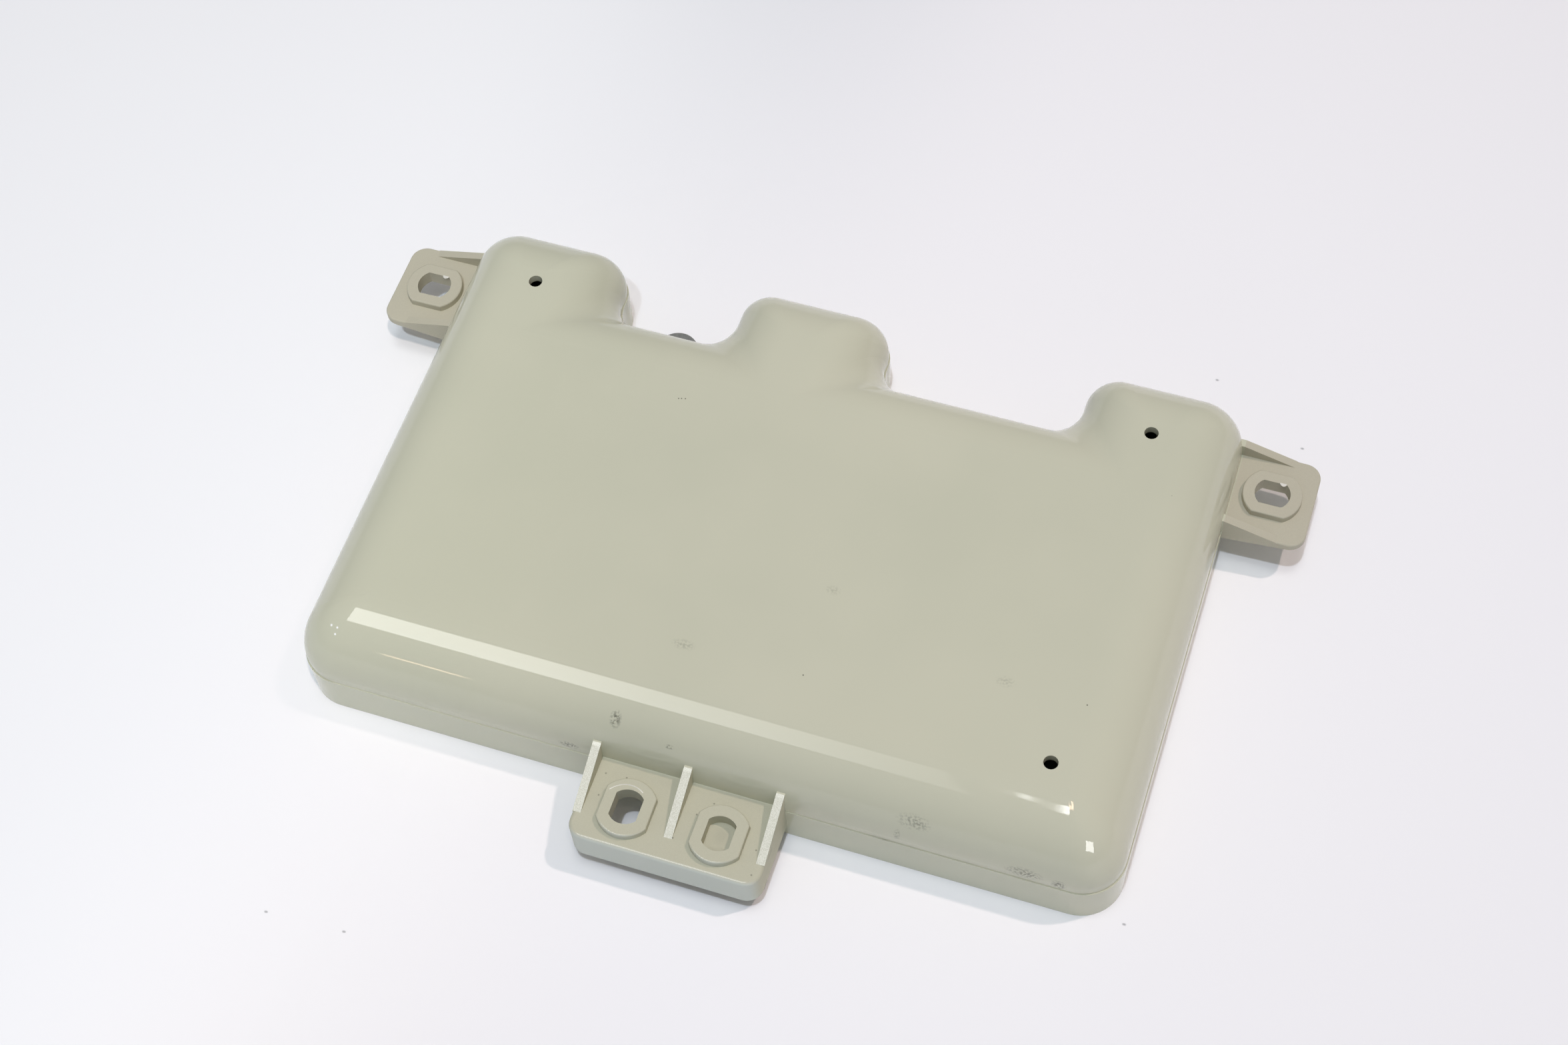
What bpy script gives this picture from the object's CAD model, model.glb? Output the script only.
"""Looks of the moulded housing: its plastic and steel, a few mould flashes, and the studio round it.
Metres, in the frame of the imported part: +Z up from the table, +X to the right, +Y to the notched edge."""
import math

import bmesh
import bpy
from mathutils import Matrix, Quaternion, Vector


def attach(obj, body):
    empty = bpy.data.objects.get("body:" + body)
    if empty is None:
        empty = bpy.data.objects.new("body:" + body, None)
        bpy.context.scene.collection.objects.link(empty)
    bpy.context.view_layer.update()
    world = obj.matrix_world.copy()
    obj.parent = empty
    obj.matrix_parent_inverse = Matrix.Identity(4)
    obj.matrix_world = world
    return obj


MM = 0.001

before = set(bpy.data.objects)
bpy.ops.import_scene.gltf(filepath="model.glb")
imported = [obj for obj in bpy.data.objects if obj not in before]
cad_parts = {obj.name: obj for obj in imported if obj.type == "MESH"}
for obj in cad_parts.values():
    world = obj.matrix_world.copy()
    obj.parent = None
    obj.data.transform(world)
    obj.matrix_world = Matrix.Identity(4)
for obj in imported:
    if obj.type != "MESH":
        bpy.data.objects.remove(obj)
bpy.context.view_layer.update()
housing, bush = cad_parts["housing"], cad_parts["bush"]

# ---- places on the moulding, in millimetres ----
SHELL_END, SHELL_FRONT = 100.2, -55.5  # side and front walls at the rim
LAND_TOP = 12.0  # upper edge of the rim band
ROUND_RADIUS, ROUND_FOOT = 16.0, 14.0  # round from the walls to the top, and the height where it starts
ROUND_AXIS_Y = SHELL_FRONT + 0.2 + ROUND_RADIUS
EAR_X, EAR_Y, EAR_PAD_TOP = 109.5, 57.15, 14.9  # middle of each ear's slot, and its pad's upper face
LUG_PAD_X, LUG_PAD_Y, LUG_PAD_TOP = 11.15, -66.4, 15.6  # the same for the lug's slots
LUG_TOP, LUG_FRONT = 13.6, -75.8  # upper face of its plate, and where its skirt stands
BLIND_TOP = 12.0  # floor of the blind slot
TOP = 30.0
RIB_SLOPE = math.radians(21)  # of the ribs' tops, down towards the front


def on_front(x, angle):
    """Place on the front round, with the angle in degrees from the wall, 0, to the flat top, 90."""
    turn = math.radians(angle)
    if angle < 0:
        return x, SHELL_FRONT, ROUND_FOOT + angle * math.radians(ROUND_RADIUS)
    return x, ROUND_AXIS_Y - ROUND_RADIUS * math.cos(turn), ROUND_FOOT + ROUND_RADIUS * math.sin(turn)


# ---- materials ----
def srgb(code):
    """Linear RGBA of a six digit sRGB colour."""
    channels = [int(code[i:i + 2], 16) / 255 for i in (0, 2, 4)]
    linear = [c / 12.92 if c <= 0.04045 else ((c + 0.055) / 1.055) ** 2.4 for c in channels]
    return (*linear, 1.0)


def add(tree, kind, inputs=None, out=0, **settings):
    """Adds a shader node with its settings. Each input is a value, or a socket to link from.
    Gives back one of its outputs."""
    node = tree.nodes.new("ShaderNode" + kind)
    for name, value in settings.items():
        setattr(node, name, value)
    for key, value in (inputs or {}).items():
        if isinstance(value, bpy.types.NodeSocket):
            tree.links.new(value, node.inputs[key])
        else:
            node.inputs[key].default_value = value
    return node.outputs[out]


def material(name, build):
    """New material whose shader comes from build(tree, place), place in metres from the origin."""
    made = bpy.data.materials.new(name)
    made.use_nodes = True
    tree = made.node_tree
    tree.nodes.clear()
    output = tree.nodes.new("ShaderNodeOutputMaterial")
    tree.links.new(build(tree, add(tree, "TexCoord", out="Object")), output.inputs[0])
    return made


def grain(tree, place, size_mm, stretch=(1, 1, 1), detail=2.0):
    """Noise with features of that size, drawn out along the axes by stretch, from 0 to 1."""
    scale = [1 / (size_mm * MM * s) for s in stretch]
    scaled = add(tree, "VectorMath", {0: place, 1: scale}, operation="MULTIPLY")
    return add(tree, "TexNoise", {"Vector": scaled, "Scale": 1.0, "Detail": detail}, out="Fac")


def over(tree, value, low, high):
    """0 where the value is under low, 1 over high, smooth between."""
    return add(tree, "MapRange", {"Value": value, "From Min": low, "From Max": high},
               interpolation_type="SMOOTHSTEP")


def patches(tree, place, spots):
    """Soft oval patches: each has its centre and its half size in millimetres, and a strength."""
    total = 0.0
    for centre, size, strength in spots:
        away = add(tree, "VectorMath", {0: place, 1: [c * MM for c in centre]}, operation="SUBTRACT")
        away = add(tree, "VectorMath", {0: away, 1: [s * MM for s in size]}, operation="DIVIDE")
        far = add(tree, "VectorMath", {0: away}, out="Value", operation="LENGTH")
        patch = add(tree, "MapRange", {"Value": far, "From Min": 1.0, "From Max": 0.3, "To Max": strength})
        total = add(tree, "Math", {0: total, 1: patch}, operation="MAXIMUM")
    return total


# Dirt rubbed into the gloss, each with its centre, half size and strength.
SCUFFS = [
    (on_front(-18.5, 45), (1.6, 2.6, 2.6), 0.75),
    (on_front(-5, 34), (1.3, 0.7, 0.7), 0.8),
    (on_front(-29.5, 2), (2.9, 1.2, 1.6), 0.8),
    (on_front(53, 28), (4.6, 2.4, 2.6), 0.45),
    (on_front(49.5, 8), (0.9, 1.5, 2.6), 0.45),
    (on_front(79, 4), (5.0, 1.5, 2.6), 0.6),
    (on_front(87, 1), (2.0, 1.5, 2.2), 0.8),
    ((-8.9, -30.2, TOP), (3.2, 1.6, 1), 0.25),
    ((19.5, -6.8, TOP), (2.2, 1.4, 1), 0.2),
    ((63.8, -18.0, TOP), (2.6, 1.6, 1), 0.2),
]
# Dark specks on the top and on the lug, and a faint dark spot on the floor of the blind slot.
TOP_SPECKS = [(-32.6, 33.0), (-31.9, 33.2), (-31.0, 33.4), (19.7, -29.7), (82.8, -18.3), (87.6, 40.6),
              (92.1, -36.3)]
LUG_SPECKS = [(-18.7, -64.7), (-19.0, -59.1), (-14.0, -58.8), (7.3, -59.0), (4.4, -62.7), (20.1, -67.0),
              (21.0, -73.0), (1.1, -69.7)]
SPECKS = [((x, y, TOP), (0.24, 0.24, 0.6), 0.9) for x, y in TOP_SPECKS]
SPECKS += [((x, y, LUG_TOP), (0.3, 0.3, 0.6), 0.6) for x, y in LUG_SPECKS]
SPECKS += [((LUG_PAD_X, LUG_PAD_Y + 1, BLIND_TOP), (2.6, 2.6, 0.9), 0.09)]
CRUMBS = [(-85.4, -109.5), (-66.2, -108.6), (113.3, 81.5), (88.3, 95.6), (102.6, -54.2)]
TABLE_SPECKS = [((x, y, 0), (0.6, 0.4, 1), 0.7) for x, y in CRUMBS]
# Pinpoint glints at the front left corner, drawn as white dots.
GLINTS = [((-89.9, -47.9, 27.0), (0.4, 0.4, 0.4), 1.0), ((-88.3, -48.2, 27.2), (0.35, 0.35, 0.35), 1.0),
          ((-88.5, -49.5, 26.2), (0.35, 0.35, 0.35), 1.0)]


# Where the plastic's looks change, in millimetres.
MATTE_START, MATTE_FULL = 0.02, 0.1  # off the shell's walls, where ears and lug begin
RIB_ROOT, SKIRT_START, LINE_START = -53.0, -70.0, -54.0
LINE_STRENGTH = 0.4
GLOSS, MATTE = 0.045, 0.6  # roughness
PLASTIC_IOR = 1.5
# Sizes of its patterns, in millimetres. Real spark pits and polishing marks are some hundredths of a
# millimetre, and are drawn this coarse so that they show.
PIT, POLISH_MARK, POLISH_STRETCH = 0.25, 0.35, 60
CLOUD, RUB, LINE_BREAK = 60, 0.6, 6


def plastic_shader(tree, place):
    """Moulded ABS in a warm grey. The mould was polished for the shell, which mirrors the lamps, and
    spark eroded for the ears and the lug, which stay matte. The ribs' tops look rubbed pale."""
    x, y, z = (add(tree, "SeparateXYZ", {0: place}, out=axis) for axis in "XYZ")
    # matte ears and lug, and the tops of the ribs
    outward = add(tree, "Math", {0: x}, operation="ABSOLUTE")
    side = over(tree, outward, (SHELL_END + MATTE_START) * MM, (SHELL_END + MATTE_FULL) * MM)
    front = over(tree, y, (SHELL_FRONT - MATTE_START) * MM, (SHELL_FRONT - MATTE_FULL) * MM)
    matte = add(tree, "Math", {0: side, 1: front}, operation="MAXIMUM")
    normal = add(tree, "TexCoord", out="Normal")
    facing = add(tree, "VectorMath", {0: normal, 1: (0, -math.sin(RIB_SLOPE), math.cos(RIB_SLOPE))},
                 out="Value", operation="DOT_PRODUCT")
    rib_top = add(tree, "Math", {0: over(tree, facing, 0.985, 0.995),
                                 1: over(tree, y, RIB_ROOT * MM, (RIB_ROOT - 0.5) * MM)},
                  operation="MULTIPLY")

    # plain colours, with a paler skirt on the lug and paler rib tops
    fine = grain(tree, place, PIT)
    cloud = over(tree, grain(tree, place, CLOUD, detail=3.0), 0.3, 0.7)
    shell = add(tree, "Mix", {"Factor": cloud, 6: srgb("C4C4AE"), 7: srgb("C9C8B2")}, out=2, data_type="RGBA")
    eroded = add(tree, "Mix", {"Factor": fine, 6: srgb("B8B6A0"), 7: srgb("C3C1AB")}, out=2, data_type="RGBA")
    ear = add(tree, "Mix", {"Factor": fine, 6: srgb("B5B09D"), 7: srgb("BFBAA6")}, out=2, data_type="RGBA")
    colour = add(tree, "Mix", {"Factor": front, 6: shell, 7: eroded}, out=2, data_type="RGBA")
    colour = add(tree, "Mix", {"Factor": side, 6: colour, 7: ear}, out=2, data_type="RGBA")
    forward = add(tree, "SeparateXYZ", {0: normal}, out="Y")
    skirt = add(tree, "Math", {0: over(tree, forward, -0.2, -0.95),
                               1: over(tree, y, SKIRT_START * MM, LUG_FRONT * MM)}, operation="MULTIPLY")
    colour = add(tree, "Mix", {"Factor": skirt, 6: colour, 7: srgb("CACFC5")}, out=2, data_type="RGBA")
    worn = over(tree, fine, 0.35, 0.65)
    bright = add(tree, "Mix", {"Factor": worn, 6: srgb("D2D2C0"), 7: srgb("E6E6D8")}, out=2, data_type="RGBA")
    colour = add(tree, "Mix", {"Factor": rib_top, 6: colour, 7: bright}, out=2, data_type="RGBA")

    # dirt: scuffs, specks, and a broken line on the step over the rim band
    rubbed = over(tree, grain(tree, place, RUB, detail=6.0), 0.42, 0.60)
    dirt = add(tree, "Math", {0: patches(tree, place, SCUFFS), 1: rubbed}, operation="MULTIPLY")
    dirt = add(tree, "Math", {0: dirt, 1: patches(tree, place, SPECKS)}, operation="MAXIMUM")
    above_land = add(tree, "Math", {0: over(tree, z, (LAND_TOP - 0.5) * MM, LAND_TOP * MM),
                                    1: over(tree, z, (LAND_TOP + 2.0) * MM, LAND_TOP * MM)},
                     operation="MULTIPLY")
    broken = over(tree, grain(tree, place, LINE_BREAK, stretch=(3, 1, 1), detail=4.0), 0.5, 0.75)
    line = add(tree, "Math", {0: above_land, 1: broken}, operation="MULTIPLY")
    line = add(tree, "Math", {0: line, 1: over(tree, y, LINE_START * MM, (LINE_START - 1) * MM)},
               operation="MULTIPLY")
    faint_line = add(tree, "Math", {0: line, 1: LINE_STRENGTH}, operation="MULTIPLY")
    dirt = add(tree, "Math", {0: dirt, 1: faint_line}, operation="MAXIMUM")
    colour = add(tree, "Mix", {"Factor": dirt, 6: colour, 7: srgb("4E4D42")}, out=2, data_type="RGBA")
    glints = patches(tree, place, GLINTS)
    colour = add(tree, "Mix", {"Factor": glints, 6: colour, 7: srgb("FFFFFF")}, out=2, data_type="RGBA")

    rough = add(tree, "Mix", {"Factor": matte, 2: GLOSS, 3: MATTE}, data_type="FLOAT")
    drawn = grain(tree, place, POLISH_MARK, stretch=(POLISH_STRETCH, 1, 1))
    polish = add(tree, "Math", {0: drawn, 1: 0.12}, operation="MULTIPLY")
    height = add(tree, "Mix", {"Factor": matte, 2: polish, 3: fine}, data_type="FLOAT")
    bump = add(tree, "Bump", {"Strength": 0.25, "Distance": 0.02 * MM, "Height": height})
    return add(tree, "BsdfPrincipled", {"Base Color": colour, "Roughness": rough, "Normal": bump,
                                        "IOR": PLASTIC_IOR})


def flash_shader(tree, place):
    """Thin flash of the same plastic, whitened where it was bent."""
    colour = add(tree, "Mix", {"Factor": grain(tree, place, 0.3), 6: srgb("D5D2C6"), 7: srgb("EFEDE4")},
                 out=2, data_type="RGBA")
    bump = add(tree, "Bump", {"Strength": 0.4, "Distance": 0.03 * MM, "Height": grain(tree, place, 0.2)})
    return add(tree, "BsdfPrincipled", {"Base Color": colour, "Roughness": 0.4, "Normal": bump,
                                        "IOR": PLASTIC_IOR})


def steel_shader(tree, place):
    """Turned steel, dull, with fine tool marks."""
    colour = add(tree, "Mix", {"Factor": grain(tree, place, 0.8), 6: srgb("8E8F8C"), 7: srgb("B4B5B1")},
                 out=2, data_type="RGBA")
    bump = add(tree, "Bump", {"Strength": 0.3, "Distance": 0.02 * MM, "Height": grain(tree, place, 0.15)})
    return add(tree, "BsdfPrincipled", {"Base Color": colour, "Metallic": 0.7, "Roughness": 0.35,
                                        "Normal": bump})


def table_shader(tree, place):
    """White coated board, faintly cool, with a little gloss."""
    colour = add(tree, "Mix", {"Factor": grain(tree, place, 300), 6: srgb("F5F4F5"), 7: srgb("F8F7F8")},
                 out=2, data_type="RGBA")
    specks = patches(tree, place, TABLE_SPECKS)
    colour = add(tree, "Mix", {"Factor": specks, 6: colour, 7: srgb("8C8C8E")}, out=2, data_type="RGBA")
    return add(tree, "BsdfPrincipled", {"Base Color": colour, "Roughness": 0.5, "Specular IOR Level": 0.3})


for part, made in ((housing, material("warm_grey_moulded_plastic", plastic_shader)),
                   (bush, material("turned_steel", steel_shader))):
    part.data.materials.clear()
    part.data.materials.append(made)


# ---- mould flash ----
def flash(name, path, base, height, lean):
    """Low ridge of flash along a path of places in millimetres. Its crest stands height above the
    path and leans off it sideways by the vector lean, and falls away towards both ends."""
    mesh = bpy.data.meshes.new(name)
    shape = bmesh.new()
    rings = []
    for i, place in enumerate(path):
        swell = math.sin(math.pi * (i + 0.3) / (len(path) - 0.4))
        here = Vector(place)
        along = (Vector(path[min(i + 1, len(path) - 1)]) - Vector(path[max(i - 1, 0)])).normalized()
        aside = Vector((0, 0, 1)).cross(along) * base / 2
        crest = here + (Vector((0, 0, height)) + Vector(lean)) * swell
        rings.append([shape.verts.new(p * MM) for p in (here - aside, here + aside, crest)])
    for first, second in zip(rings, rings[1:]):
        for i in range(3):
            j = (i + 1) % 3
            shape.faces.new((first[i], first[j], second[j], second[i]))
    shape.faces.new(rings[0])
    shape.faces.new(rings[-1][::-1])
    bmesh.ops.recalc_face_normals(shape, faces=shape.faces)
    shape.to_mesh(mesh)
    shape.free()
    mesh.materials.append(flash_material)
    piece = bpy.data.objects.new(name, mesh)
    bpy.context.scene.collection.objects.link(piece)
    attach(piece, "root")


flash_material = material("whitened_flash", flash_shader)
SLOT_HALF = 3.3  # half the slots' width
for side_name, sign in (("left", -1), ("right", 1)):
    edge = [(sign * EAR_X + x, EAR_Y + SLOT_HALF, EAR_PAD_TOP) for x in (1.1, 1.5, 1.9, 2.3, 2.7)]
    flash(f"ear_flash_{side_name}", edge, 0.4, 0.35, (0.1, -0.9, 0))
BOW_START, BOW_END, BOW_STEP = 60, 150, 6  # degrees round the lug's open slot
BOW_RADIUS, BOW_DRIFT = 5.0, 0.95  # where it starts, and how much farther out it ends
bow = []
for degrees in range(BOW_START, BOW_END + 1, BOW_STEP):
    angle = math.radians(degrees)
    reach = BOW_RADIUS + BOW_DRIFT * (degrees - BOW_START) / (BOW_END - BOW_START)
    bow.append((-LUG_PAD_X + reach * math.cos(angle), LUG_PAD_Y + reach * math.sin(angle), LUG_PAD_TOP))
flash("lug_pad_flash", bow, 0.24, 0.14, (0, 0, 0))


# ---- studio ----
def sheet(name, width, depth, centre, made):
    """Flat rectangle facing +Z, for the table or a light panel."""
    mesh = bpy.data.meshes.new(name)
    shape = bmesh.new()
    corners = [(-1, -1), (1, -1), (1, 1), (-1, 1)]
    shape.faces.new([shape.verts.new((a * width / 2, b * depth / 2, 0)) for a, b in corners])
    shape.to_mesh(mesh)
    shape.free()
    mesh.materials.append(made)
    thing = bpy.data.objects.new(name, mesh)
    thing.location = centre
    bpy.context.scene.collection.objects.link(thing)
    return thing


TABLE_SIZE = 8.0
sheet("table", TABLE_SIZE, TABLE_SIZE, (0, 0, 0), material("white_coated_board", table_shader))

WORLD_LEVEL, WORLD_COLOUR = 0.28, (0.98, 1.0, 1.03, 1.0)
world = bpy.data.worlds.new("room")
world.use_nodes = True
bpy.context.scene.world = world
background = world.node_tree.nodes["Background"]
background.inputs["Color"].default_value = WORLD_COLOUR
background.inputs["Strength"].default_value = WORLD_LEVEL

LAMP_DISTANCE, LAMP_RADIUS = 2.5, 0.05
SEAM_X, SEAM_HALF = -0.065, 0.045  # where the light of the left lamps passes into that of the right ones
FAR_AIM = 3.5  # how far out on their own side the lamps are aimed, so that the seam is nearly straight


def lamp(name, side, slopes, level, colour):
    """Spot lamp over the left (-1) or right (1) ear, that lights its side of the table as far as the
    seam. Slopes are how far it stands off sideways for each metre up. Its level is the brightness
    that it alone gives a white table."""
    data = bpy.data.lights.new(name, "SPOT")
    data.color = colour
    data.energy = level * 4 * math.pi ** 2 * LAMP_DISTANCE ** 2 * (1 + slopes[0] ** 2 + slopes[1] ** 2) ** 0.5
    data.shadow_soft_size = LAMP_RADIUS
    thing = bpy.data.objects.new(name, data)
    ear = Vector((side * EAR_X, EAR_Y, 0)) * MM
    thing.location = ear + Vector((*slopes, 1)).normalized() * LAMP_DISTANCE
    axis = Vector((side * FAR_AIM, ear.y, 0)) - thing.location
    seam = [Vector((SEAM_X + side * off, ear.y, 0)) for off in (-SEAM_HALF, SEAM_HALF)]
    dark, full = (axis.angle(end - thing.location) for end in seam)
    data.spot_size = 2 * dark
    data.spot_blend = 1 - (1 - math.cos(full)) / (1 - math.cos(dark))
    thing.rotation_euler = (-axis).to_track_quat("Z", "Y").to_euler()
    thing.visible_glossy = False
    bpy.context.scene.collection.objects.link(thing)


WARM, COOL = (1.0, 0.86, 0.77), (0.86, 1.0, 1.15)
lamp("right_warm_lamp", 1, (0.42, 0.25), 0.25, (1.0, 0.81, 0.75))
lamp("right_cool_lamp", 1, (-0.03, -0.186), 0.26, (0.88, 0.98, 1.13))
lamp("left_warm_lamp", -1, (0.28, -0.25), 0.27, WARM)
lamp("left_cool_lamp", -1, (0.0, -0.42), 0.28, COOL)

FILL_LEVEL, FILL_HEIGHT, FILL_REACH, FILL_RADIUS = 0.29, 2.2, 0.46, 0.35
fill = bpy.data.lights.new("soft_fill", "SPOT")
fill.color = (0.98, 1.0, 1.0)
fill.energy = FILL_LEVEL * 4 * math.pi ** 2 * FILL_HEIGHT ** 2
fill.shadow_soft_size = FILL_RADIUS
fill.spot_size, fill.spot_blend = 2 * math.atan(FILL_REACH / FILL_HEIGHT), 1.0
fill_lamp = bpy.data.objects.new("soft_fill", fill)
fill_lamp.location = (-0.02, 0.02, FILL_HEIGHT)
fill_lamp.visible_glossy = False
bpy.context.scene.collection.objects.link(fill_lamp)


def window(name, level, size, place, colour):
    """Soft square light at a place in metres, that faces the origin and isn't mirrored. Its level is
    the brightness that it gives a white card held square to it at the origin."""
    data = bpy.data.lights.new(name, "AREA")
    data.size = size
    data.color = colour
    data.energy = level * math.pi ** 2 * Vector(place).length_squared
    thing = bpy.data.objects.new(name, data)
    thing.location = place
    thing.rotation_euler = Vector(place).to_track_quat("Z", "Y").to_euler()
    thing.visible_glossy = False
    bpy.context.scene.collection.objects.link(thing)


window("front_window", 0.06, 1.2, (0.3, -2.0, 0.40), (0.85, 1.0, 1.12))


PANEL_LEVEL, PANEL_HEIGHT = 8.0, 1.2
PANEL_X, PANEL_Y = (-0.586, -0.075), (-0.709, -0.12)  # left and right ends, front and rear edges
PANEL_FADE = (0.45, -0.35)  # dark and full ends of its fade along X from its middle, both past its own ends


def panel_shader(tree, place):
    """Long ceiling panel, which fades out towards its right end."""
    x = add(tree, "SeparateXYZ", {0: place}, out="X")
    fade = over(tree, x, *PANEL_FADE)
    strength = add(tree, "Math", {0: fade, 1: PANEL_LEVEL}, operation="MULTIPLY")
    return add(tree, "Emission", {"Color": (1.0, 1.0, 0.96, 1.0), "Strength": strength})


panel = sheet("ceiling_panel", PANEL_X[1] - PANEL_X[0], PANEL_Y[1] - PANEL_Y[0],
              (sum(PANEL_X) / 2, sum(PANEL_Y) / 2, PANEL_HEIGHT), material("ceiling_panel", panel_shader))
panel.visible_camera = panel.visible_diffuse = panel.visible_shadow = False


MIRROR_DISTANCE = 2.0


def mirrored(name, place, direction, size, level, colour):
    """Small far lamp that only the gloss shows, where the place in millimetres mirrors it. Its size
    is across, along +X as near as may be, by up."""
    def shader(tree, _):
        """Even glow."""
        return add(tree, "Emission", {"Color": (*colour, 1.0), "Strength": level})
    away = Vector(direction).normalized()
    across = (Vector((1, 0, 0)) - away * away.x).normalized()
    thing = sheet(name, *size, Vector(place) * MM + away * MIRROR_DISTANCE, material(name, shader))
    thing.rotation_euler = Matrix((across, away.cross(across), away)).transposed().to_euler()
    thing.visible_camera = thing.visible_diffuse = thing.visible_shadow = False


WHITE, ORANGE = (1.0, 1.0, 1.0), (1.0, 0.72, 0.5)
mirrored("spot_rear", (75.8, -43.7, 29.4), (-0.081, -0.155, 0.985), (0.008, 0.26), 16, WHITE)
mirrored("spot_mid", (85.1, -44.1, 29.3), (-0.064, -0.204, 0.977), (0.004, 0.46), 60, WHITE)
mirrored("spot_mid_warm", (86.0, -42.7, 29.6), (0.035, 0.019, 1.0), (0.14, 0.50), 16, ORANGE)
mirrored("spot_corner", (91.9, -49.3, 25.4), (0.607, -0.633, 0.481), (0.62, 0.62), 11, WHITE)
mirrored("warm_tube", (-65.1, -50.7, 25.2), (-0.316, -0.881, 0.345), (0.085, 0.07), 9, ORANGE)

# ---- camera ----
IMAGE_WIDTH = 2352  # pixels
FOCAL_PIXELS = 3796.1
SENSOR_MM = 36.0
CAMERA_AIM = Vector((-4.09, 23.71, 0.0)) * MM
CAMERA_AZIMUTH, CAMERA_ELEVATION = math.radians(22.87), math.radians(59.13)
CAMERA_ROLL = math.radians(-5.24)
CAMERA_DISTANCE = 628.28 * MM


def add_camera():
    """Camera at CAMERA_DISTANCE from its aim, turned to the right of the front and tipped by its roll."""
    data = bpy.data.cameras.new("camera")
    data.sensor_width = SENSOR_MM
    data.lens = FOCAL_PIXELS / IMAGE_WIDTH * SENSOR_MM
    data.clip_start, data.clip_end = 0.01, 50.0
    level = math.cos(CAMERA_ELEVATION)
    back = Vector((math.sin(CAMERA_AZIMUTH) * level, -math.cos(CAMERA_AZIMUTH) * level,
                   math.sin(CAMERA_ELEVATION)))
    turn = (-back).to_track_quat("-Z", "Y") @ Quaternion((0, 0, 1), CAMERA_ROLL)
    thing = bpy.data.objects.new("camera", data)
    thing.matrix_world = Matrix.Translation(CAMERA_AIM + back * CAMERA_DISTANCE) @ turn.to_matrix().to_4x4()
    bpy.context.scene.collection.objects.link(thing)
    bpy.context.scene.camera = thing


add_camera()
bpy.context.scene.view_settings.view_transform = "Standard"
